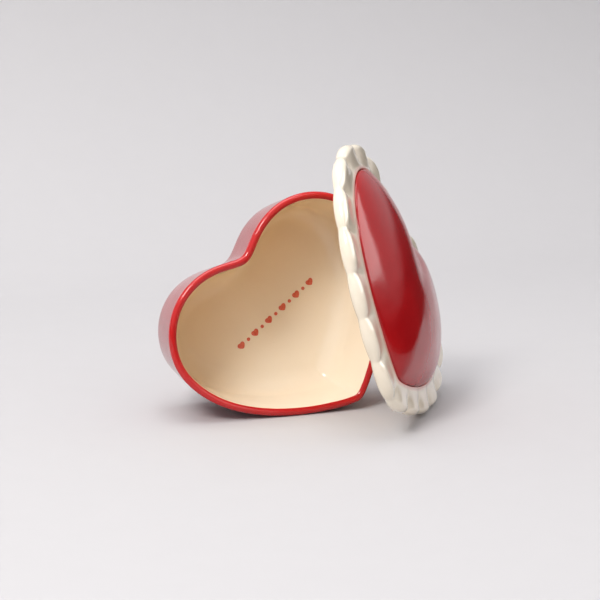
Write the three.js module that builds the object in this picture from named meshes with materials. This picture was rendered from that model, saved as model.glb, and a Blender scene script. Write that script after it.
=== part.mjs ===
import * as THREE from 'three';

// Heart-shaped ceramic trinket box, in millimetres, +Z up.
// The dish stands on its side with its mouth towards -Y, and the lid stands on its frill
// beside it and leans on the dish's rim. The origin is on the ground, under the middle.

// mouth of the dish: the heart outline that every other outline is offset from
const mouthWidth = 117;
const mouthLength = 97;
const cleftDepth = 7.9;
const lobeSpacing = 54.4;
const shoulderDrop = 29.9;
const lobeShare = 0.463;

// how far the outline's curves run straight on at their ends, as shares of half the width
// or of the length
const cleftRound = 0.11;
const lobeInner = 0.24;
const lobeOuter = 0.31;
const shoulderUp = 0.148;
const shoulderDown = 0.406;
const pointRound = 0.055;

// dish
const dishDepth = 45;
const floorThickness = 7;
const wallThickness = 4;
const draftAngle = 7.3;
const footRadius = 8;
const coveRadius = 12;
const footRingWidth = 7;
const footRecess = 2.5;

// lid
const domeHeight = 13.5;
const domeWall = 4.5;
const domeMargin = 3;
const domeSkirt = 7.8;
const domePeak = 6;
const domeFullness = 2.2;
const domeSoftness = 0.78;
const hollowStep = 0.6;
const frillWidth = 13.6;
const frillThickness = 7.2;
const frillEdge = 2.6;
const frillLobes = 20;
const frillLobeDepth = 2.2;
const locatorDepth = 3;
const locatorWall = 3;
const locatorClearance = 1.5;

// gaps between pieces that touch
const seatGap = 0.3;
const frillGap = 0.5;

// how the two pieces stand
const dishRoll = 38.2;
const lidLean = 15.9;
const lidHeading = - 35.3;
const lidSpin = 39.7;
const lidAhead = 13.8;

// fineness of the surfaces
const halfSegments = 36;
const frillSegmentsPerLobe = 8;
const leanSegments = 120;
const leanRows = 20;
const leanHalvings = 14;
const outlineSamples = 360;
const flatShare = 0.5;
const puffShares = [ 0.985, 0.95, 0.89, 0.8, 0.66, 0.48, 0.26 ];
const footSteps = 4;
const lipSteps = 6;
const coveSteps = 5;
const rimSteps = 6;

const halfWidth = mouthWidth / 2;
const lobeX = lobeSpacing / 2;
const lobeY = mouthLength * lobeShare;
const cleftY = lobeY - cleftDepth;
const shoulderY = lobeY - shoulderDrop;
const pointY = lobeY - mouthLength;
const cavityDepth = dishDepth - floorThickness;
const draftSlope = Math.tan( THREE.MathUtils.degToRad( draftAngle ) );
const frillInner = domeMargin + frillGap;

// The right half of the mouth, from the cleft round the lobe and down to the point.
function mouthHalf() {

	const path = new THREE.Path();
	path.moveTo( 0, cleftY );
	path.bezierCurveTo(
		cleftRound * halfWidth, cleftY,
		lobeX - lobeInner * halfWidth, lobeY,
		lobeX, lobeY
	);
	path.bezierCurveTo(
		lobeX + lobeOuter * halfWidth, lobeY,
		halfWidth, shoulderY + shoulderUp * mouthLength,
		halfWidth, shoulderY
	);
	path.bezierCurveTo(
		halfWidth, shoulderY - shoulderDown * mouthLength,
		pointRound * halfWidth, pointY,
		0, pointY
	);
	return path.getSpacedPoints( outlineSamples );

}

// Unit outward normal at each point of an open line that runs clockwise round the heart.
function lineNormals( points ) {

	return points.map( ( point, i ) => {

		const before = points[ Math.max( i - 1, 0 ) ];
		const after = points[ Math.min( i + 1, points.length - 1 ) ];
		const along = after.clone().sub( before ).normalize();
		return new THREE.Vector2( - along.y, along.x );

	} );

}

// Keeps the part of a half outline on its own side of the axis, and ends it on the axis.
function trimToAxis( points ) {

	const kept = points.filter( ( point ) => point.x > 0 );
	const first = points.indexOf( kept[ 0 ] );
	const last = points.indexOf( kept[ kept.length - 1 ] );
	const onAxis = ( inside, outside ) => {

		if ( ! outside ) return new THREE.Vector2( 0, inside.y );
		const share = inside.x / ( inside.x - outside.x );
		return new THREE.Vector2( 0, inside.y + share * ( outside.y - inside.y ) );

	};
	return [
		onAxis( points[ first ], points[ first - 1 ] ),
		...kept,
		onAxis( points[ last ], points[ last + 1 ] )
	];

}

// The whole heart, offset outwards by a distance, as evenly spaced points in order.
function heartOutline( offset, segments = halfSegments ) {

	const line = mouthHalf();
	const normals = lineNormals( line );
	const moved = line.map( ( point, i ) => point.clone().addScaledVector( normals[ i ], offset ) );
	const half = new THREE.Path( trimToAxis( moved ) ).getSpacedPoints( segments );
	half[ 0 ].x = 0;
	half[ segments ].x = 0;
	const mirrored = half.slice( 1, segments ).reverse();
	return [ ...half, ...mirrored.map( ( point ) => new THREE.Vector2( - point.x, point.y ) ) ];

}

function ringAt( outline, height ) {

	return outline.map( ( point ) => new THREE.Vector3( point.x, point.y, height ) );

}

function ringShrunk( outline, share, height, centre ) {

	return outline.map( ( point ) => new THREE.Vector3(
		centre.x + ( point.x - centre.x ) * share,
		centre.y + ( point.y - centre.y ) * share,
		height
	) );

}

// A closed surface through a series of rings. With ends it is capped by a point at the middle
// of each end; without them the last ring joins the first.
function skin( rings, ends ) {

	const count = rings[ 0 ].length;
	const points = rings.flat();
	const faces = [];
	const bands = ends ? rings.length - 1 : rings.length;
	for ( let band = 0; band < bands; band ++ ) {

		const low = band * count;
		const high = ( ( band + 1 ) % rings.length ) * count;
		for ( let i = 0; i < count; i ++ ) {

			const next = ( i + 1 ) % count;
			faces.push( low + i, high + i, high + next );
			faces.push( low + i, high + next, low + next );

		}

	}

	if ( ends ) {

		const top = ( rings.length - 1 ) * count;
		const start = points.push( ends[ 0 ] ) - 1;
		const finish = points.push( ends[ 1 ] ) - 1;
		for ( let i = 0; i < count; i ++ ) {

			const next = ( i + 1 ) % count;
			faces.push( start, i, next );
			faces.push( finish, top + next, top + i );

		}

	}

	const geometry = new THREE.BufferGeometry().setFromPoints( points );
	geometry.setIndex( faces );
	geometry.computeVertexNormals();
	return geometry;

}

function named( name, geometry, color, roughness ) {

	const material = new THREE.MeshStandardMaterial( { color, roughness, metalness: 0 } );
	const mesh = new THREE.Mesh( geometry, material );
	mesh.name = name;
	return mesh;

}

// Points on an arc of a profile, as offset and height, with both ends.
function arc( offset, height, radius, from, to, steps ) {

	return Array.from( { length: steps + 1 }, ( _, i ) => {

		const angle = THREE.MathUtils.degToRad( from + ( to - from ) * i / steps );
		return [ offset + radius * Math.cos( angle ), height + radius * Math.sin( angle ) ];

	} );

}

// Centre of a fillet between the drafted wall and a level face below it. The wall leans
// inwards on its way down from the lip.
function filletCentre( wallTop, bottom, radius ) {

	const height = bottom + radius;
	const lip = - wallThickness / 2;
	const wall = wallTop + ( height - lip ) * draftSlope;
	const offset = wall - radius / Math.cos( THREE.MathUtils.degToRad( draftAngle ) );
	return [ offset, height ];

}

// Heart dish with a rounded lip, drafted walls, a coved floor and a recessed foot. Its own
// frame has the mouth in the XY plane, with the point towards -Y and the floor below.
function dish() {

	const lipRadius = wallThickness / 2;
	const foot = filletCentre( wallThickness, - dishDepth, footRadius );
	const cove = filletCentre( 0, - cavityDepth, coveRadius );
	const recess = foot[ 0 ] - footRingWidth;
	const recessTop = - dishDepth + footRecess;
	const middle = new THREE.Vector2( 0, ( cleftY + pointY ) / 2 );
	const profile = [
		[ recess - footRecess, recessTop ],
		[ recess, - dishDepth ],
		...arc( ...foot, footRadius, - 90, - draftAngle, footSteps ),
		...arc( lipRadius, - lipRadius, lipRadius, 0, 180, lipSteps ),
		...arc( ...cove, coveRadius, - draftAngle, - 90, coveSteps )
	];
	const rings = profile.map( ( [ offset, height ] ) => ringAt( heartOutline( offset ), height ) );
	const underEdge = heartOutline( recess - footRecess );
	const under = ringShrunk( underEdge, flatShare, recessTop, middle );
	const floor = ringShrunk( heartOutline( cove[ 0 ] ), flatShare, - cavityDepth, middle );
	return skin(
		[ under, ...rings, floor ],
		[
			new THREE.Vector3( middle.x, middle.y, recessTop ),
			new THREE.Vector3( middle.x, middle.y, - cavityDepth )
		]
	);

}

// The lid's own frame has the underside of the frill in the XY plane and the dome above it.

// A puffed cap over an outline: it leaves the outline steeply and levels out at the middle.
function puffRings( outline, base, height, middle ) {

	return puffShares.map( ( share ) => {

		const rise = height * Math.pow( 1 - Math.pow( share, domeFullness ), domeSoftness );
		return ringShrunk( outline, share, base + rise, middle );

	} );

}

function dome() {

	const outer = heartOutline( domeMargin );
	const inner = heartOutline( - locatorClearance - locatorWall );
	const middle = new THREE.Vector2( 0, ( cleftY + pointY ) / 2 + domePeak );
	const ceiling = domeSkirt + domeHeight - domeWall;
	const innerBase = domeSkirt * hollowStep;
	return skin(
		[
			...puffRings( inner, innerBase, ceiling - innerBase, middle ).reverse(),
			ringAt( inner, innerBase ),
			ringAt( inner, 0 ),
			ringAt( outer, 0 ),
			ringAt( outer, domeSkirt ),
			...puffRings( outer, domeSkirt, domeHeight, middle )
		],
		[
			new THREE.Vector3( middle.x, middle.y, ceiling ),
			new THREE.Vector3( middle.x, middle.y, domeSkirt + domeHeight )
		]
	);

}

// Pie-crust edge: a flat band round the dome whose rounded rim swells into even lobes.
function frill() {

	const count = frillLobes * frillSegmentsPerLobe;
	const radius = frillThickness / 2;
	const valley = frillInner + frillWidth - frillLobeDepth;
	const rim = arc( 0, 0, 1, - 90, 90, rimSteps ).map( ( [ across, up ] ) => [
		valley - frillEdge + frillEdge * across,
		radius + radius * up
	] );
	const lobed = rim.map( ( [ offset, height ] ) => {

		const outline = heartOutline( offset, count / 2 );
		return outline.map( ( point, i ) => {

			const wave = Math.sin( Math.PI * i / frillSegmentsPerLobe );
			const swell = frillLobeDepth * Math.sqrt( Math.abs( wave ) );
			const before = outline[ ( i + count - 1 ) % count ];
			const after = outline[ ( i + 1 ) % count ];
			const along = after.clone().sub( before ).normalize();
			return new THREE.Vector3( point.x - along.y * swell, point.y + along.x * swell, height );

		} );

	} );
	return skin( [
		ringAt( heartOutline( frillInner, count / 2 ), domeSkirt ),
		ringAt( heartOutline( frillInner, count / 2 ), 0 ),
		...lobed
	] );

}

// Upright ring under the lid that drops inside the dish's mouth.
function locator() {

	const outer = - locatorClearance;
	const inner = outer - locatorWall;
	const tip = - locatorDepth;
	const edge = locatorWall / 4;
	return skin( [
		ringAt( heartOutline( inner ), tip + edge ),
		ringAt( heartOutline( inner + edge ), tip ),
		ringAt( heartOutline( outer - edge ), tip ),
		ringAt( heartOutline( outer ), tip + edge ),
		ringAt( heartOutline( outer ), - seatGap ),
		ringAt( heartOutline( inner ), - seatGap )
	] );

}

// Turns the dish on to its side: the mouth faces -Y and looks up by the draft angle, so that
// the drafted side lies along the ground from the lip to the foot.
function standDish( mesh ) {

	mesh.rotation.order = 'XYZ';
	mesh.rotation.set(
		THREE.MathUtils.degToRad( 90 - draftAngle ), 0, THREE.MathUtils.degToRad( dishRoll )
	);
	const group = new THREE.Group();
	group.add( mesh );
	return group;

}

function standLid( meshes ) {

	const spin = new THREE.Group();
	spin.rotation.z = THREE.MathUtils.degToRad( lidSpin );
	spin.add( ...meshes );
	const lean = new THREE.Group();
	lean.rotation.y = THREE.MathUtils.degToRad( 90 - lidLean );
	lean.add( spin );
	const heading = new THREE.Group();
	heading.rotation.z = THREE.MathUtils.degToRad( lidHeading );
	heading.add( lean );
	return heading;

}

function dropToGround( group ) {

	group.updateMatrixWorld( true );
	const box = new THREE.Box3().setFromObject( group, true );
	group.position.z -= box.min.z;
	group.updateMatrixWorld( true );

}

function insideOutline( outline, x, y ) {

	let inside = false;
	outline.forEach( ( a, i ) => {

		const b = outline[ ( i + 1 ) % outline.length ];
		const crosses = ( a.y > y ) !== ( b.y > y );
		if ( crosses && x < a.x + ( b.x - a.x ) * ( y - a.y ) / ( b.y - a.y ) ) inside = ! inside;

	} );
	return inside;

}

// Closely spaced points over the dish's lip and outer wall, in the dish's own frame.
function outerPoints() {

	const lipRadius = wallThickness / 2;
	const wall = Array.from( { length: leanRows }, ( _, i ) => {

		const down = ( dishDepth - footRadius - lipRadius ) * ( i + 1 ) / leanRows;
		return [ wallThickness - down * draftSlope, - lipRadius - down ];

	} );
	const lip = arc( lipRadius, - lipRadius, lipRadius, 0, 180, lipSteps );
	return [ ...wall, ...lip ].flatMap( ( [ offset, height ] ) =>
		ringAt( heartOutline( offset, leanSegments ), height )
	);

}

// How far those points stand clear of the lid's locating ring and frill, along the lid's axis.
function leanSlack( points, dishFrame, lidFrame ) {

	const toLid = lidFrame.matrixWorld.clone().invert().multiply( dishFrame.matrixWorld );
	const outer = heartOutline( - locatorClearance );
	const inner = heartOutline( - locatorClearance - locatorWall );
	const slacks = points.map( ( dishPoint ) => {

		const point = dishPoint.clone().applyMatrix4( toLid );
		if ( insideOutline( inner, point.x, point.y ) ) return Infinity;
		const underside = insideOutline( outer, point.x, point.y ) ? - locatorDepth : 0;
		return underside - point.z;

	} );
	return Math.min( ...slacks );

}

const dishMesh = named( 'dish', dish(), 0xc01a1e, 0.12 );
const domeMesh = named( 'lid_dome', dome(), 0xa81418, 0.12 );
const frillMesh = named( 'lid_frill', frill(), 0xf0e4cc, 0.18 );
const locatorMesh = named( 'lid_locating_ring', locator(), 0xf0e4cc, 0.25 );

const dishGroup = standDish( dishMesh );
dropToGround( dishGroup );

const lidGroup = standLid( [ domeMesh, frillMesh, locatorMesh ] );
lidGroup.position.set( mouthWidth, - lidAhead, 0 );
dropToGround( lidGroup );

// the lid slides along the ground until it leans on the dish
const leaning = outerPoints();
let near = 0;
let far = mouthWidth;
for ( let halving = 0; halving < leanHalvings; halving ++ ) {

	lidGroup.position.x = ( near + far ) / 2;
	lidGroup.updateMatrixWorld( true );
	if ( leanSlack( leaning, dishMesh, domeMesh ) > seatGap ) far = lidGroup.position.x;
	else near = lidGroup.position.x;

}

const box = new THREE.Group();
box.add( dishGroup, lidGroup );
box.updateMatrixWorld( true );
const extent = new THREE.Box3().setFromObject( box, true );
const centre = extent.getCenter( new THREE.Vector3() );
box.position.set( - centre.x, - centre.y, - extent.min.z );

export default box;
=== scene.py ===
import math

import bmesh
import bpy
from mathutils import Matrix, Vector


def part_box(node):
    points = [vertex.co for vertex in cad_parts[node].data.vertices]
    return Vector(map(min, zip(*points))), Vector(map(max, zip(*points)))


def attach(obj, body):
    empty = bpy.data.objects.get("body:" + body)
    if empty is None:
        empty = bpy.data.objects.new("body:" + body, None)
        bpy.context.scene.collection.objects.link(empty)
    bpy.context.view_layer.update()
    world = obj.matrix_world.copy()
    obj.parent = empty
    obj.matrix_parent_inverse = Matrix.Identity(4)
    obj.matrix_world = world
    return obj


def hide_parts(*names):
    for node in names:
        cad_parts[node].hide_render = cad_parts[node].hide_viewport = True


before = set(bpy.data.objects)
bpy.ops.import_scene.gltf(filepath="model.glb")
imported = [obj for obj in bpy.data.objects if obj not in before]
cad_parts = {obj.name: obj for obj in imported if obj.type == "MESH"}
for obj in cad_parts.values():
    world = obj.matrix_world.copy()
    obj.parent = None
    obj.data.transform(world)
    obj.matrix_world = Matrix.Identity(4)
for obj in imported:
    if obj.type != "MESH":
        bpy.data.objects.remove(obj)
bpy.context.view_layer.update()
print("frame loaded")

mm = 0.001

# the heart that every outline is offset from, in millimetres, cleft towards +Y
heart = {
    "width": 117.0,
    "length": 97.0,
    "cleft": 7.9,  # how far the cleft lies below the tops of the lobes
    "lobes": 54.4,  # from the top of one lobe to the other
    "lobeShare": 0.463,  # share of the length that lies above the origin
    "shoulder": 29.9,  # how far the widest place lies below the tops
    "cleftHandle": 0.11,  # handles are shares of half the width or of the length
    "topHandles": (0.24, 0.31),
    "sideHandles": (0.148, 0.406),
    "tipHandle": 0.055,
    "steps": (80, 80, 120),
}

# where the two pieces stand: an offset from a CAD box corner in millimetres, and turns in degrees
stand = {
    "dish": {"corner": "dish", "from": (65.0662, 5.9795, 48.9153), "draft": 7.3, "roll": 38.2},
    "lid": {"corner": "lid_frill", "from": (39.8859, 55.3942, 60.2403),
            "lean": 15.9, "heading": -35.3, "spin": 39.7},
}


def turn(degrees, axis):
    return Matrix.Rotation(math.radians(degrees), 4, axis)


def cornerOf(place):
    return Matrix.Translation(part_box(place["corner"])[0] + Vector(place["from"]) * mm)


def standDish(place):
    return cornerOf(place) @ turn(90 - place["draft"], "X") @ turn(place["roll"], "Z")


def leanLid(place):
    tilted = turn(place["heading"], "Z") @ turn(90 - place["lean"], "Y")
    return cornerOf(place) @ tilted @ turn(place["spin"], "Z")


dishPlace = standDish(stand["dish"])
lidPlace = leanLid(stand["lid"])

# ---- outlines

halfWidth = heart["width"] / 2
lobeX = heart["lobes"] / 2
lobeY = heart["length"] * heart["lobeShare"]
cleftY = lobeY - heart["cleft"]
shoulderY = lobeY - heart["shoulder"]
pointY = lobeY - heart["length"]
middleY = (cleftY + pointY) / 2


def bezier(a, b, c, d, steps):
    points = []
    for i in range(steps + 1):
        t = i / steps
        u = 1 - t
        points.append(a * u ** 3 + b * (3 * u * u * t) + c * (3 * u * t * t) + d * t ** 3)
    return points


def heartHalf():
    # the right half from the cleft over the lobe and down to the point
    intoTop, outOfTop = heart["topHandles"]
    intoSide, outOfSide = heart["sideHandles"]
    cleft, top = Vector((0, cleftY)), Vector((lobeX, lobeY))
    side, tip = Vector((halfWidth, shoulderY)), Vector((0, pointY))
    first = bezier(cleft, Vector((heart["cleftHandle"] * halfWidth, cleftY)),
                   Vector((lobeX - intoTop * halfWidth, lobeY)), top, heart["steps"][0])
    second = bezier(top, Vector((lobeX + outOfTop * halfWidth, lobeY)),
                    Vector((halfWidth, shoulderY + intoSide * heart["length"])), side,
                    heart["steps"][1])
    third = bezier(side, Vector((halfWidth, shoulderY - outOfSide * heart["length"])),
                   Vector((heart["tipHandle"] * halfWidth, pointY)), tip, heart["steps"][2])
    return first + second[1:] + third[1:]


def spaced(line, count):
    # the same line as evenly spaced points
    lengths = [0.0]
    for a, b in zip(line, line[1:]):
        lengths.append(lengths[-1] + (b - a).length)
    points = []
    at = 0
    for i in range(count + 1):
        want = lengths[-1] * i / count
        while at < len(line) - 2 and lengths[at + 1] < want:
            at += 1
        step = max(lengths[at + 1] - lengths[at], 1e-9)
        points.append(line[at].lerp(line[at + 1], min(1.0, (want - lengths[at]) / step)))
    return points


def outwards(before, after):
    # square to the line between two neighbours of a point, away from the heart's middle
    along = (after - before).normalized()
    return Vector((-along.y, along.x))


def heartLine(offset, half):
    # the whole heart offset outwards, half * 2 even points from the cleft round the right lobe
    line = heartHalf()
    moved = []
    for i, point in enumerate(line):
        before, after = line[max(i - 1, 0)], line[min(i + 1, len(line) - 1)]
        moved.append(point + outwards(before, after) * offset)
    kept = [p for p in moved if p.x > 0]
    first, last = moved.index(kept[0]), len(moved) - 1 - moved[::-1].index(kept[-1])

    def onAxis(inside, outside):
        if outside is None:
            return Vector((0, inside.y))
        return inside.lerp(outside, inside.x / (inside.x - outside.x))

    start = onAxis(moved[first], moved[first - 1] if first else None)
    end = onAxis(moved[last], moved[last + 1] if last + 1 < len(moved) else None)
    right = spaced([start, *kept, end], half)
    right[0].x = right[-1].x = 0
    left = [Vector((-p.x, p.y)) for p in right[1:-1]]
    return right + left[::-1]


def shrunk(line, share, middle):
    return [middle + (p - middle) * share for p in line]


def arc(offset, height, radius, start, stop, steps):
    points = []
    for i in range(steps + 1):
        angle = math.radians(start + (stop - start) * i / steps)
        points.append((offset + radius * math.cos(angle), height + radius * math.sin(angle)))
    return points


def rows(a, b, count):
    # points strictly between two profile points
    return [(a[0] + (b[0] - a[0]) * i / (count + 1), a[1] + (b[1] - a[1]) * i / (count + 1))
            for i in range(1, count + 1)]


# ---- modelling helpers

def nothingSelected():
    if bpy.context.mode != "OBJECT":
        bpy.ops.object.mode_set(mode="OBJECT")
    bpy.ops.object.select_all(action="DESELECT")


def placeRing(piece, ring, line, height, glaze):
    # sets the ring's points on an outline, and writes the glaze value there
    shell = bmesh.from_edit_mesh(piece.data)
    layer = shell.verts.layers.float.get("glaze") or shell.verts.layers.float.new("glaze")
    shell.verts.ensure_lookup_table()
    heights = height if isinstance(height, list) else [height] * len(line)
    for index, point, up in zip(ring, line, heights):
        shell.verts[index].co = Vector((point.x, point.y, up)) * mm
        shell.verts[index][layer] = glaze
    bmesh.update_edit_mesh(piece.data, loop_triangles=False, destructive=False)


def startRing(name, line, height, glaze):
    nothingSelected()
    bpy.ops.mesh.primitive_circle_add(vertices=len(line), radius=halfWidth * mm,
                                      fill_type="NOTHING")
    piece = bpy.context.object
    piece.name = piece.data.name = name
    bpy.ops.object.mode_set(mode="EDIT")
    bpy.ops.mesh.select_all(action="SELECT")
    ring = list(range(len(line)))
    placeRing(piece, ring, line, height, glaze)
    return piece, ring


def pullRing(piece, ring):
    # extrudes the selected ring, and says which new point came from which old one
    before = len(bmesh.from_edit_mesh(piece.data).verts)
    bpy.ops.mesh.extrude_region_move(TRANSFORM_OT_translate={"value": (0, 0, 0)})
    shell = bmesh.from_edit_mesh(piece.data)
    shell.verts.ensure_lookup_table()
    shell.verts.index_update()
    pulled = []
    for index in ring:
        for edge in shell.verts[index].link_edges:
            other = edge.other_vert(shell.verts[index])
            if other.index >= before:
                pulled.append(other.index)
                break
    return pulled


def loft(name, sections, capped, levels=1):
    # one skin through rings of the same number of points; sections are (line, height, glaze)
    piece, ring = startRing(name, *sections[0])
    for section in sections[1:]:
        ring = pullRing(piece, ring)
        placeRing(piece, ring, *section)
    if not capped:
        bpy.ops.mesh.select_all(action="DESELECT")
        bpy.ops.mesh.select_non_manifold(extend=False, use_boundary=True)
        bpy.ops.mesh.bridge_edge_loops()
    bpy.ops.object.mode_set(mode="OBJECT")
    if levels:
        smoother = piece.modifiers.new("smooth", "SUBSURF")
        smoother.levels = smoother.render_levels = levels
        bpy.ops.object.modifier_apply(modifier=smoother.name)
    bpy.ops.object.mode_set(mode="EDIT")
    if capped:
        # both open ends are filled, and the fills get a point at their middle
        bpy.ops.mesh.select_all(action="SELECT")
        bpy.ops.mesh.fill_holes(sides=0)
        bpy.ops.mesh.select_all(action="DESELECT")
        bpy.ops.mesh.select_face_by_sides(number=4, type="GREATER")
        bpy.ops.mesh.poke()
    bpy.ops.mesh.select_all(action="SELECT")
    bpy.ops.mesh.normals_make_consistent(inside=False)
    bpy.ops.object.mode_set(mode="OBJECT")
    return piece


def finishPiece(piece, place, material, body, slotName, *nodes):
    nothingSelected()
    piece.select_set(True)
    bpy.context.view_layer.objects.active = piece
    piece.matrix_world = place
    bpy.ops.object.transform_apply(location=True, rotation=True, scale=True)
    bpy.ops.object.shade_smooth()
    piece.data.materials.append(material)
    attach(piece, body)
    if nodes:
        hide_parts(*nodes)
    print("made", piece.name, len(piece.data.polygons), "faces")


# ---- materials

class Signal:
    # a socket that adds Math nodes when it is used in an expression
    def __init__(self, kit, socket):
        self.kit = kit
        self.socket = socket

    def math(self, operation, a, b):
        return self.kit.make("ShaderNodeMath", {"operation": operation}, {0: a, 1: b})

    def __add__(self, other):
        return self.math("ADD", self, other)

    def __radd__(self, other):
        return self.math("ADD", other, self)

    def __sub__(self, other):
        return self.math("SUBTRACT", self, other)

    def __rsub__(self, other):
        return self.math("SUBTRACT", other, self)

    def __mul__(self, other):
        return self.math("MULTIPLY", self, other)

    def __rmul__(self, other):
        return self.math("MULTIPLY", other, self)


# noise patterns: scale per metre, detail, roughness
patterns = {
    "redClouds": (38.0, 4.0, 0.55),
    "creamClouds": (26.0, 5.0, 0.6),
    "specks": (900.0, 2.0, 0.5),
    "sheen": (140.0, 3.0, 0.6),
    "castWobble": (22.0, 2.0, 0.4),
    "orangePeel": (520.0, 2.0, 0.5),
    "lipEdge": (120.0, 3.0, 0.6),
    # painted shade: wobble for the edge of the dish's painted honey shade
    "paintedShadeWobble": (14.0, 2.0, 0.4),
    "skirtEdge": (90.0, 3.0, 0.6),
    "frillBlush": (160.0, 4.0, 0.6),
    "bareEdge": (200.0, 3.0, 0.6),
    "bareGrain": (1400.0, 3.0, 0.6),
    "inkPatches": (700.0, 3.0, 0.6),
    "paperFibre": (60.0, 3.0, 0.6),
}

# a colour Mix node's sockets, which share their names
mixShare, mixFrom, mixTo, mixColour = 0, 6, 7, 2


class Kit:
    # builds the nodes of one material or world
    def __init__(self, owner):
        self.owner = owner
        owner.use_nodes = True
        self.tree = owner.node_tree
        self.tree.nodes.clear()

    def make(self, kind, settings=None, sockets=None, output=0):
        node = self.tree.nodes.new(kind)
        for key, value in (settings or {}).items():
            if key == "stops":
                ramp = node.color_ramp
                while len(ramp.elements) < len(value):
                    ramp.elements.new(0.5)
                for element, (at, colour) in zip(ramp.elements, value):
                    element.position = at
                    element.color = (*colour, 1)
            else:
                setattr(node, key, value)
        for key, value in (sockets or {}).items():
            if isinstance(value, Signal):
                self.tree.links.new(value.socket, node.inputs[key])
            else:
                node.inputs[key].default_value = value
        return Signal(self, node.outputs[output]) if node.outputs else node

    def place(self):
        return self.make("ShaderNodeTexCoord", output="Object")

    def glazeAt(self):
        return self.make("ShaderNodeAttribute", {"attribute_name": "glaze"}, output="Fac")

    def noise(self, pattern):
        scale, detail, rough = patterns[pattern]
        return self.make("ShaderNodeTexNoise", {}, {
            "Vector": self.place(), "Scale": scale, "Detail": detail, "Roughness": rough})

    def wander(self, pattern, reach):
        # noise about zero, for edges that aren't ruled
        return (self.noise(pattern) - 0.5) * reach

    def ramp(self, value, stops):
        return self.make("ShaderNodeValToRGB", {"stops": stops}, {"Fac": value})

    def blend(self, share, a, b):
        # colour a where share is 0, colour b where it is 1
        return self.make("ShaderNodeMix", {"data_type": "RGBA"}, {
            mixShare: share,
            mixFrom: a if isinstance(a, Signal) else (*a, 1),
            mixTo: b if isinstance(b, Signal) else (*b, 1),
        }, output=mixColour)

    def softStep(self, value, low, high):
        return self.make("ShaderNodeMapRange", {"interpolation_type": "SMOOTHSTEP"}, {
            "Value": value, "From Min": low, "From Max": high, "To Min": 0.0, "To Max": 1.0})

    def bump(self, height, strength, distance, normal=None):
        sockets = {"Height": height, "Strength": strength, "Distance": distance}
        if normal:
            sockets["Normal"] = normal
        return self.make("ShaderNodeBump", {}, sockets)

    def finish(self, **sockets):
        shader = self.make("ShaderNodeBsdfPrincipled", {},
                           {name.replace("_", " "): value for name, value in sockets.items()})
        self.make("ShaderNodeOutputMaterial", {}, {"Surface": shader})
        return self.owner


glazes = {
    "rimRed": (0.50, 0.007, 0.011),
    "deepRed": (0.42, 0.005, 0.008),
    "thinRed": (0.60, 0.030, 0.022),
    # painted shade: the outer wall's darker red, where less light falls
    "paintedShadeWallRed": (0.27, 0.004, 0.007),
    "domeRed": (0.40, 0.004, 0.006),
    "domeDeep": (0.35, 0.003, 0.005),
    "cream": (0.88, 0.74, 0.54),
    "creamDeep": (0.84, 0.68, 0.46),
    "creamPale": (0.94, 0.86, 0.73),
    # painted shade: the dish's cream on the side turned from the light
    "paintedShadeHoney": (0.80, 0.54, 0.27),
    "frillCream": (0.86, 0.77, 0.62),
    "frillShade": (0.78, 0.68, 0.52),
    "bareClay": (0.78, 0.72, 0.62),
    "blush": (0.72, 0.28, 0.22),
    "speck": (0.16, 0.08, 0.04),
    "ink": (0.62, 0.075, 0.035),
    "inkPale": (0.72, 0.16, 0.09),
    "dishIor": 1.48,
    "domeIor": 1.48,
    "creamIor": 1.5,
}

skin = {
    "redStops": (0.35, 0.62),
    "creamStops": (0.30, 0.66),
    "speckSpan": (0.765, 0.80),
    "speckShare": 0.75,
    "wobbleDepth": 0.002,
    "peelStrength": 0.05,
    "peelDepth": 0.0004,
}


def redOver(kit, light, dark, thin, thinness):
    # red glaze pools a little darker in soft clouds and breaks lighter where it is thin
    low, high = skin["redStops"]
    clouds = kit.ramp(kit.noise("redClouds"), [(low, dark), (high, light)])
    return kit.blend(thinness, clouds, thin)


def creamUnder(kit, pale, deep):
    # cream glaze in soft clouds, with a few iron specks
    low, high = skin["creamStops"]
    clouds = kit.ramp(kit.noise("creamClouds"), [(low, deep), (high, pale)])
    specks = kit.softStep(kit.noise("specks"), *skin["speckSpan"])
    return kit.blend(specks * skin["speckShare"], clouds, glazes["speck"])


def glossOf(kit, low, high):
    return low + kit.noise("sheen") * (high - low)


def glazeSkin(kit, wobble):
    # slow wobble of the cast body, then the fine orange peel of the glaze
    slow = kit.bump(kit.noise("castWobble"), wobble, skin["wobbleDepth"])
    return kit.bump(kit.noise("orangePeel"), skin["peelStrength"], skin["peelDepth"], slow)


# ---- dish, in millimetres; offsets are from the mouth's outline, heights from the rim

plainGlaze = 9.0  # a glaze value far from any edge between the red and the cream

dish = {
    "depth": 45.0,
    "floor": 7.0,
    "wall": 4.0,
    "foot": 8.0,
    "cove": 12.0,
    "footRing": 7.0,
    # the recess inside the foot ring, as steps in from the ring and up from its face
    "recessSteps": ((-4.6, 2.5), (-3.2, 2.45), (-2.2, 2.2), (-1.2, 1.3), (-0.4, 0.4),
                    (0.6, 0.02), (2.0, 0.0), (5.0, 0.0)),
    "footSteps": 8,
    "lipArc": (-4, 184),
    "lipSteps": 12,
    "coveSteps": 10,
    "wallRows": 4,
    "floorRows": (1.5, 4.0),
    "capShares": (0.8, 0.45),
    "half": 80,
    "redInside": 1.1,  # how far the red comes over the lip
    "shy": 0.02,
    # the finish
    "edgeWander": 0.5,
    "edgeSpan": (-0.12, 0.12),
    "crestSpans": ((0.6, 2.2), (3.4, 5.2)),
    "crestShare": 0.35,
    # painted shade: where and how much the outer wall's red is darkened
    "paintedShadeWallSpan": (5.2, 8.8),
    "paintedShadeWallShare": 0.75,
    # painted light and shade: the cream's gradient from pale on the lit side to honey on the
    # shaded side
    "paintedShadeDirection": (-0.6, 0.0, 0.75),
    "paintedShadeWander": 0.03,
    "paintedShadeSpan": (0.012, 0.095),
    "paintedShadeShare": 0.95,
    "paleShare": 0.6,
    "haloSpan": (-1.0, -0.1),
    "haloShare": 0.2,
    "roughness": (0.07, 0.16),
    "wobble": 0.35,
}


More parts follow.
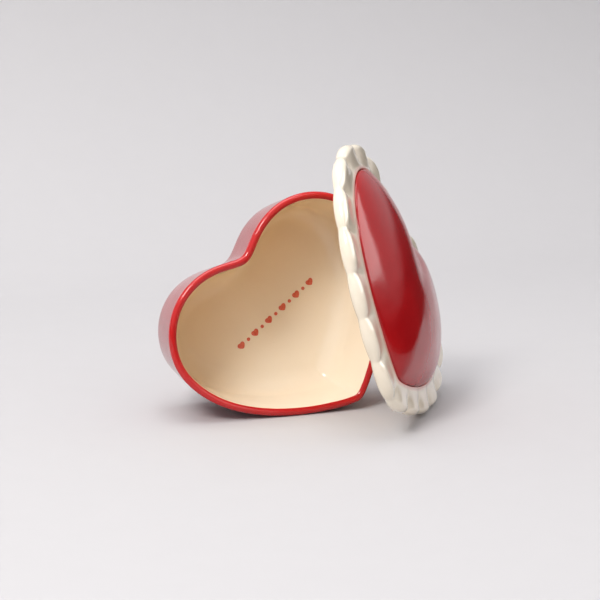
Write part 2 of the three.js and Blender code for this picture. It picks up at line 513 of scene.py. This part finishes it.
def dishGlaze():
    kit = Kit(bpy.data.materials.new("dishGlaze"))
    glaze = kit.glazeAt()
    edge = glaze + kit.wander("lipEdge", dish["edgeWander"])
    red = kit.softStep(edge, *dish["edgeSpan"])
    rising, falling = dish["crestSpans"]
    crest = kit.softStep(glaze, *rising) * (1 - kit.softStep(glaze, *falling)) * dish["crestShare"]
    reds = redOver(kit, glazes["rimRed"], glazes["deepRed"], glazes["thinRed"], crest)
    # painted shade: the outer wall's red is darkened where it gets less light
    reds = kit.blend(kit.softStep(glaze, *dish["paintedShadeWallSpan"]) * dish["paintedShadeWallShare"], reds,
                     glazes["paintedShadeWallRed"])
    creams = creamUnder(kit, glazes["cream"], glazes["creamDeep"])
    # painted light and shade: the cream is painted paler on the lit side of the dish and darker
    # honey on the side turned from the light
    slope = kit.make("ShaderNodeVectorMath", {"operation": "DOT_PRODUCT"},
                     {0: kit.place(), 1: dish["paintedShadeDirection"]}, output="Value")
    paintedShade = kit.softStep(slope + kit.wander("paintedShadeWobble", dish["paintedShadeWander"]), *dish["paintedShadeSpan"])
    paler = kit.blend((1 - paintedShade) * dish["paleShare"], creams, glazes["creamPale"])
    creams = kit.blend(paintedShade * dish["paintedShadeShare"], paler, glazes["paintedShadeHoney"])
    halo = kit.softStep(edge, *dish["haloSpan"])
    creams = kit.blend(halo * dish["haloShare"], creams, glazes["blush"])
    return kit.finish(Base_Color=kit.blend(red, creams, reds),
                      Roughness=glossOf(kit, *dish["roughness"]),
                      IOR=glazes["dishIor"], Normal=glazeSkin(kit, dish["wobble"]))


def filletCentre(wallTop, bottom, radius):
    # where a fillet between the drafted wall and a flat has its centre
    draft = math.radians(stand["dish"]["draft"])
    height = bottom + radius
    wall = wallTop + (height + dish["wall"] / 2) * math.tan(draft)
    return wall - radius / math.cos(draft), height


def dishProfile():
    # once round the wall, from the recess underneath over the lip and down to the floor
    lip = (dish["wall"] - dish["shy"]) / 2
    draft = stand["dish"]["draft"]
    bottom = dish["shy"] - dish["depth"]
    floor = dish["floor"] - dish["depth"]
    foot = filletCentre(lip * 2, bottom, dish["foot"])
    cove = filletCentre(0, floor, dish["cove"])
    recess = foot[0] - dish["footRing"]
    under = [(recess + inward, bottom + up) for inward, up in dish["recessSteps"]]
    footArc = arc(*foot, dish["foot"], -90, -draft, dish["footSteps"])
    lipArc = arc(lip, -lip, lip, *dish["lipArc"], dish["lipSteps"])
    coveArc = arc(*cove, dish["cove"], -draft, -90, dish["coveSteps"])
    outer = under + footArc + rows(footArc[-1], lipArc[0], dish["wallRows"]) + lipArc
    inner = rows(lipArc[-1], coveArc[0], dish["wallRows"]) + coveArc
    inner += [(cove[0] - inward, floor) for inward in dish["floorRows"]]
    return outer, inner


def dishBody():
    outer, inner = dishProfile()
    profile = outer + inner
    # the glaze value runs along the profile: above 0 is red, below 0 is cream
    lengths = [0.0]
    for a, b in zip(profile, profile[1:]):
        lengths.append(lengths[-1] + math.dist(a, b))
    edge = lengths[len(outer) - 1] - dish["redInside"]
    sections = []
    for (offset, height), length in zip(profile, lengths):
        glaze = max(-plainGlaze, min(plainGlaze, edge - length))
        sections.append((heartLine(offset, dish["half"]), height, glaze))
    middle = Vector((0, middleY))
    underside, inside = sections[0], sections[-1]
    for share in dish["capShares"]:
        sections.insert(0, (shrunk(underside[0], share, middle), underside[1], plainGlaze))
        sections.append((shrunk(inside[0], share, middle), inside[1], -plainGlaze))
    return loft("dish_body", sections, True)


finishPiece(dishBody(), dishPlace, dishGlaze(), "dish", "dish_glaze", "dish")

# ---- printed row on the dish's floor: small hearts with dots between them

motif = {
    "count": 11,
    "pitch": 4.95,
    "heart": 4.3,
    "heartHalf": 16,
    "heartMiddle": 6,
    "dot": 0.95,
    "dotSides": 32,
    "at": (2.4, -2.3),
    "thick": 0.12,
    "sunk": 0.05,
    "softEdge": 0.9,
    "inkStops": (0.3, 0.7),
    "roughness": (0.14, 0.24),
    "wobble": 0.2,
}


def printGlaze():
    kit = Kit(bpy.data.materials.new("printGlaze"))
    low, high = motif["inkStops"]
    patchy = kit.ramp(kit.noise("inkPatches"), [(low, glazes["ink"]), (high, glazes["inkPale"])])
    return kit.finish(Base_Color=patchy, Roughness=glossOf(kit, *motif["roughness"]),
                      IOR=glazes["creamIor"], Normal=glazeSkin(kit, motif["wobble"]))


def smallHeart(centre):
    size = motif["heart"] / heart["width"]
    middle = Vector((0, middleY + motif["heartMiddle"]))
    return [centre + (p - middle) * size for p in heartLine(0, motif["heartHalf"])]


def smallDot(centre):
    sides = motif["dotSides"]
    angles = [2 * math.pi * k / sides for k in range(sides)]
    return [Vector((centre.x + motif["dot"] * math.cos(a), centre.y + motif["dot"] * math.sin(a)))
            for a in angles]


def printedRow():
    made = []
    floor = dish["floor"] - dish["depth"]
    for i in range(motif["count"]):
        along = motif["at"][0] + (i - (motif["count"] - 1) / 2) * motif["pitch"]
        at = Vector((along, motif["at"][1]))
        shape = smallDot(at) if i % 2 else smallHeart(at)
        centre = sum(shape, Vector((0, 0))) / len(shape)
        top = shrunk(shape, motif["softEdge"], centre)
        made.append(loft("mark", [(shape, floor - motif["sunk"], 0),
                                  (shape, floor + motif["thick"] * 0.5, 0),
                                  (top, floor + motif["thick"], 0)], True, 0))
    nothingSelected()
    for mark in made:
        mark.select_set(True)
    bpy.context.view_layer.objects.active = made[0]
    bpy.ops.object.join()
    made[0].name = made[0].data.name = "floor_print"
    return made[0]


finishPiece(printedRow(), dishPlace, printGlaze(), "dish", "dish_glaze")

# ---- lid dome; heights are from the lid's underside

dome = {
    "height": 13.5,
    "wall": 4.5,
    "margin": 3.0,
    "skirt": 7.8,
    "inner": -4.5,
    "innerStart": 0.6,  # share of the skirt's height where the hollow starts to close
    "edge": 0.5,
    "edgeHeight": 0.05,
    "skirtRows": ((0.5, -plainGlaze), (3.0, -6.0), (5.6, -0.6), (7.8, 1.2)),  # height, glaze
    "peak": 6.0,
    "fullness": 2.2,
    "softness": 0.78,
    "half": 80,
    "shares": (0.995, 0.985, 0.97, 0.95, 0.92, 0.88, 0.83, 0.77, 0.70, 0.62, 0.53, 0.43, 0.32,
               0.20, 0.09, 0.03),
    "groove": 3.4,
    "grooveWidth": 10.5,
    "grooveEnd": -5.0,
    "rounding": 1.5,
    # the finish
    "edgeWander": 0.6,
    "edgeSpan": (-0.1, 0.1),
    "thinSpan": (0.3, 1.6),
    "roughness": (0.10, 0.19),
    "wobble": 0.9,
}


def domeGlaze():
    kit = Kit(bpy.data.materials.new("domeGlaze"))
    glaze = kit.glazeAt()
    red = kit.softStep(glaze + kit.wander("skirtEdge", dome["edgeWander"]), *dome["edgeSpan"])
    reds = redOver(kit, glazes["domeRed"], glazes["domeDeep"], glazes["thinRed"],
                   1 - kit.softStep(glaze, *dome["thinSpan"]))
    creams = creamUnder(kit, glazes["cream"], glazes["creamDeep"])
    return kit.finish(Base_Color=kit.blend(red, creams, reds),
                      Roughness=glossOf(kit, *dome["roughness"]),
                      IOR=glazes["domeIor"], Normal=glazeSkin(kit, dome["wobble"]))


def grooveAt(point):
    # a crease that runs in from the cleft and fades out towards the middle
    along = (point.y - dome["grooveEnd"]) / (cleftY - dome["grooveEnd"])
    along = max(0.0, min(1.0, along))
    depth = dome["groove"] * along * along * (3 - 2 * along)
    return depth * math.exp(-(point.x / dome["grooveWidth"]) ** 2)


def puff(line, base, height, glaze):
    middle = Vector((0, middleY + dome["peak"]))
    mean = sum((p - middle).length for p in line) / len(line)
    sections = []
    for share in dome["shares"]:
        rise = (1 - share ** dome["fullness"]) ** dome["softness"]
        # nearer the middle the heart turns rounder, so no ridge runs up from the point
        roundness = min(1.0, dome["rounding"] * (1 - share) ** 2)
        ring = []
        for p in line:
            reach = (p - middle).length
            ring.append(middle + (p - middle) * (share * (1 + roundness * (mean / reach - 1))))
        sections.append((ring, [base + height * rise - grooveAt(p) * rise for p in ring], glaze))
    return sections


def lidDome():
    outer = heartLine(dome["margin"], dome["half"])
    inner = heartLine(dome["inner"], dome["half"])
    ceiling = dome["skirt"] + dome["height"] - dome["wall"]
    innerBase = dome["skirt"] * dome["innerStart"]
    sections = puff(inner, innerBase, ceiling - innerBase, -plainGlaze)[::-1]
    for height in (innerBase, innerBase * 0.5, dome["edge"]):
        sections.append((inner, height, -plainGlaze))
    for offset in (dome["inner"] + dome["edge"], dome["margin"] - dome["edge"]):
        sections.append((heartLine(offset, dome["half"]), dome["edgeHeight"], -plainGlaze))
    sections += [(outer, height, glaze) for height, glaze in dome["skirtRows"]]
    sections += puff(outer, dome["skirt"], dome["height"], plainGlaze)
    return loft("lid_heart", sections, True)


finishPiece(lidDome(), lidPlace, domeGlaze(), "lid", "dome_glaze", "lid_dome")

# ---- lid frill; profile rows are offset, height and how far the lobes swell there

frill = {
    "width": 13.6,
    "gap": 3.5,
    "thick": 7.2,
    "edge": 2.6,
    "lobes": 20,
    "swell": 1.3,
    "inset": 0.07,
    "perLobe": 16,
    "lobeRoundness": 0.85,
    "groove": 0.12,
    "fold": 1.5,
    "foldReach": 1.3,
    "foldSharpness": 1.5,
    "rimSteps": 14,
    "under": ((3.15, 0.6, 0.0), (3.85, 0.05, 0.0), (6.0, 0.05, 0.15), (9.0, 0.05, 0.5),
              (11.0, 0.03, 0.8)),
    "over": ((11.2, 7.12, 0.85), (9.6, 7.0, 0.6), (8.0, 6.9, 0.38), (6.4, 6.9, 0.2),
             (5.0, 7.05, 0.08), (4.0, 7.35, 0.02), (3.25, 7.7, 0.0)),
    "inside": ((3.15, 5.5, 0.0), (3.15, 3.0, 0.0)),
    # the finish
    "thickSpan": (0.35, 1.0),
    "paleShare": 0.25,
    "blushWander": 0.1,
    "blushSpan": (0.0, 0.17),
    "blushShare": 0.85,
    "roughness": (0.10, 0.19),
    "coat": 0.7,
    "coatRoughness": 0.08,
    "wobble": 0.45,
}


def frillGlaze():
    kit = Kit(bpy.data.materials.new("frillGlaze"))
    glaze = kit.glazeAt()
    creams = creamUnder(kit, glazes["frillCream"], glazes["frillShade"])
    thick = kit.softStep(glaze, *frill["thickSpan"])
    creams = kit.blend(thick * frill["paleShare"], creams, glazes["creamPale"])
    # a little of the dome's red stains the cream beside it
    near = 1 - kit.softStep(glaze + kit.wander("frillBlush", frill["blushWander"]),
                            *frill["blushSpan"])
    return kit.finish(Base_Color=kit.blend(near * frill["blushShare"], creams, glazes["blush"]),
                      Roughness=glossOf(kit, *frill["roughness"]), IOR=glazes["creamIor"],
                      Coat_Weight=frill["coat"], Coat_Roughness=frill["coatRoughness"],
                      Normal=glazeSkin(kit, frill["wobble"]))


def frillProfile():
    mid = frill["thick"] / 2
    valley = frill["gap"] + frill["width"] - frill["swell"] - frill["inset"]
    centre = valley - frill["edge"]
    rim = []
    for k in range(frill["rimSteps"] + 1):
        a = math.radians(-90 + 180 * k / frill["rimSteps"])
        rim.append((centre + frill["edge"] * math.cos(a), mid + mid * math.sin(a), 1.0))
    return [*frill["under"], *rim, *frill["over"], *frill["inside"]]


def lidFrill():
    count = frill["lobes"] * frill["perLobe"]
    mid = frill["thick"] / 2
    lobe = [abs(math.sin(math.pi * i / frill["perLobe"])) ** frill["lobeRoundness"]
            for i in range(count)]
    sections = []
    for offset, height, weight in frillProfile():
        line = heartLine(offset, count // 2)
        foldDepth = frill["fold"] * min(1.0, weight * frill["foldReach"]) if height > mid else 0.0
        placed, heights = [], []
        for i, point in enumerate(line):
            out = frill["swell"] * lobe[i] * weight * weight
            placed.append(point + outwards(line[i - 1], line[(i + 1) % count]) * out)
            pinch = 1 - frill["groove"] * weight * (1 - lobe[i])
            fold = foldDepth * (1 - lobe[i]) ** frill["foldSharpness"]
            heights.append(mid + (height - mid) * pinch - fold * (height - mid) / mid)
        sections.append((placed, heights, max(0.0, (offset - frill["gap"]) / frill["width"])))
    return loft("lid_frill_edge", sections, False)


finishPiece(lidFrill(), lidPlace, frillGlaze(), "lid", "frill_glaze", "lid_frill")

# ---- locating ring under the lid

locator = {
    "outer": -1.5,
    "inner": -4.5,
    "depth": 3.0,
    "top": -0.3,
    "half": 80,
    # one rounded corner, from the side to the tip: in from the side, up from the tip, bareness
    "corner": ((0.0, 1.4, 0.0), (0.1, 0.7, 0.6), (0.5, 0.15, 1.0), (1.0, 0.0, 1.0)),
    "topInset": 0.6,
    # the finish
    "bareWander": 0.3,
    "bareSpan": (0.45, 0.55),
    "grainStrength": 0.25,
    "grainDepth": 0.0003,
    "roughness": 0.2,
    "bareRoughness": 0.45,
}


def ringGlaze():
    kit = Kit(bpy.data.materials.new("ringGlaze"))
    bare = kit.softStep(kit.glazeAt() + kit.wander("bareEdge", locator["bareWander"]),
                        *locator["bareSpan"])
    creams = creamUnder(kit, glazes["frillCream"], glazes["frillShade"])
    grain = kit.bump(kit.noise("bareGrain"), bare * locator["grainStrength"],
                     locator["grainDepth"])
    return kit.finish(Base_Color=kit.blend(bare, creams, glazes["bareClay"]),
                      Roughness=locator["roughness"] + bare * locator["bareRoughness"],
                      IOR=glazes["creamIor"], Normal=grain)


def locatingRing():
    low, high = -locator["depth"], locator["top"]
    inner, outer = locator["inner"], locator["outer"]
    down = [(inner + inward, low + up, bare) for inward, up, bare in locator["corner"]]
    back = [(outer - inward, low + up, bare) for inward, up, bare in locator["corner"][::-1]]
    top = [(outer - locator["topInset"], high, 0.0), (inner + locator["topInset"], high, 0.0)]
    profile = [(inner, high, 0.0), *down, *back, (outer, high, 0.0), *top]
    sections = [(heartLine(offset, locator["half"]), height, bare)
                for offset, height, bare in profile]
    return loft("lid_ring", sections, False)


finishPiece(locatingRing(), lidPlace, ringGlaze(), "lid", "ring_glaze", "lid_locating_ring")

# ---- floor, light and camera, in metres

studio = {
    "floorWidth": 3.6,
    "floorRight": 0.62,
    "floorBack": 0.66,
    "floorFront": 3.2,
    "floorDrop": 0.0002,
    "sweep": 0.32,
    "sweepSegments": 24,
    "wall": 0.9,
    "paper": (0.52, 0.512, 0.520),
    "paperShade": 0.99,
    "paperStops": (0.3, 0.7),
    "paperRoughness": 0.75,
    "paperShine": 0.2,
    # what the glazes mirror: dark along the horizon, light above it
    "sky": [(0.0, (0.03, 0.03, 0.03)), (0.10, (0.05, 0.05, 0.055)),
            (0.19, (0.66, 0.645, 0.665)), (1.0, (0.66, 0.645, 0.66))],
    "skySeen": (0.74, 0.72, 0.75),
}

lights = {
    "key": {"at": (-0.95, -0.75, 1.25), "towards": (0, 0, 0.05), "size": (0.45, 0.45),
            "power": 17.0, "colour": (1.0, 0.98, 0.95), "glossOnly": False},
    "top": {"at": (-0.35, 0.1, 1.9), "towards": (0, 0, 0.05), "size": (1.3, 1.3),
            "power": 22.0, "colour": (1, 1, 1), "glossOnly": False},
    "gleam": {"at": (0.88, -0.72, 0.92), "towards": (0.03, 0, 0.08), "size": (1.4, 1.1),
              "power": 22.0, "colour": (1.0, 0.97, 0.95), "glossOnly": True},
}

lens = {
    "aim": (3.17, 0.67, 8.85),  # millimetres from the dish's own origin
    "azimuth": -20.143,
    "elevation": 11.0,
    "distance": 0.9,
    "length": 108.0,
    "sensor": 36.0,
    "clip": (0.01, 50.0),
}


def chooseEdges(piece, wanted):
    bpy.ops.mesh.select_all(action="DESELECT")
    for edge in bmesh.from_edit_mesh(piece.data).edges:
        if all(wanted(vert.co) for vert in edge.verts):
            edge.select_set(True)
    bmesh.update_edit_mesh(piece.data)


def paperFloor():
    nothingSelected()
    bpy.ops.mesh.primitive_plane_add(size=1, location=(0, 0, 0))
    paper = bpy.context.object
    paper.name = "paper_floor"
    back = studio["floorBack"]
    width, depth = studio["floorWidth"], back + studio["floorFront"]
    paper.scale = (width, depth, 1)
    paper.location = (studio["floorRight"] - width / 2, back - depth / 2, -studio["floorDrop"])
    bpy.ops.object.transform_apply(location=True, rotation=True, scale=True)
    bpy.ops.object.mode_set(mode="EDIT")
    chooseEdges(paper, lambda at: at.y > back - mm)
    bpy.ops.mesh.extrude_region_move(TRANSFORM_OT_translate={"value": (0, 0, studio["wall"])})
    chooseEdges(paper, lambda at: abs(at.y - back) < mm and at.z < mm)
    bpy.ops.mesh.bevel(offset=studio["sweep"], segments=studio["sweepSegments"])
    bpy.ops.object.mode_set(mode="OBJECT")
    bpy.ops.object.shade_smooth()
    kit = Kit(bpy.data.materials.new("paper"))
    low, high = studio["paperStops"]
    shade = tuple(c * studio["paperShade"] for c in studio["paper"])
    fibre = kit.ramp(kit.noise("paperFibre"), [(low, shade), (high, studio["paper"])])
    paper.data.materials.append(kit.finish(Base_Color=fibre, Roughness=studio["paperRoughness"],
                                           Specular_IOR_Level=studio["paperShine"]))


def softbox(name, place):
    nothingSelected()
    bpy.ops.object.light_add(type="AREA", location=place["at"])
    light = bpy.context.object
    light.name = name
    light.data.shape = "RECTANGLE"
    light.data.size, light.data.size_y = place["size"]
    light.data.energy = place["power"]
    light.data.color = place["colour"]
    away = Vector(place["at"]) - Vector(place["towards"])
    light.rotation_euler = away.to_track_quat("Z", "Y").to_euler()
    light.visible_camera = False
    light.visible_diffuse = not place["glossOnly"]


def studioSky():
    world = bpy.data.worlds.new("studio")
    bpy.context.scene.world = world
    kit = Kit(world)
    direction = kit.make("ShaderNodeTexCoord", output="Generated")
    up = kit.make("ShaderNodeSeparateXYZ", {}, {0: direction}, output="Z")
    light = kit.ramp(up, studio["sky"])
    seen = kit.make("ShaderNodeLightPath", output="Is Camera Ray")
    colour = kit.blend(seen, light, studio["skySeen"])
    shader = kit.make("ShaderNodeBackground", {}, {"Color": colour, "Strength": 1.0})
    kit.make("ShaderNodeOutputWorld", {}, {"Surface": shader})


def placeCamera():
    aim = cornerOf(stand["dish"]).translation + Vector(lens["aim"]) * mm
    azimuth, elevation = math.radians(lens["azimuth"]), math.radians(lens["elevation"])
    back = Vector((math.sin(azimuth) * math.cos(elevation),
                   -math.cos(azimuth) * math.cos(elevation), math.sin(elevation)))
    bpy.ops.object.camera_add(location=aim + back * lens["distance"])
    camera = bpy.context.object
    camera.rotation_euler = back.to_track_quat("Z", "Y").to_euler()
    camera.data.lens = lens["length"]
    camera.data.sensor_width = lens["sensor"]
    camera.data.clip_start, camera.data.clip_end = lens["clip"]
    bpy.context.scene.camera = camera
    bpy.context.scene.view_settings.view_transform = "Standard"


paperFloor()
for name, place in lights.items():
    softbox(name, place)
studioSky()
placeCamera()
print("studio ready")
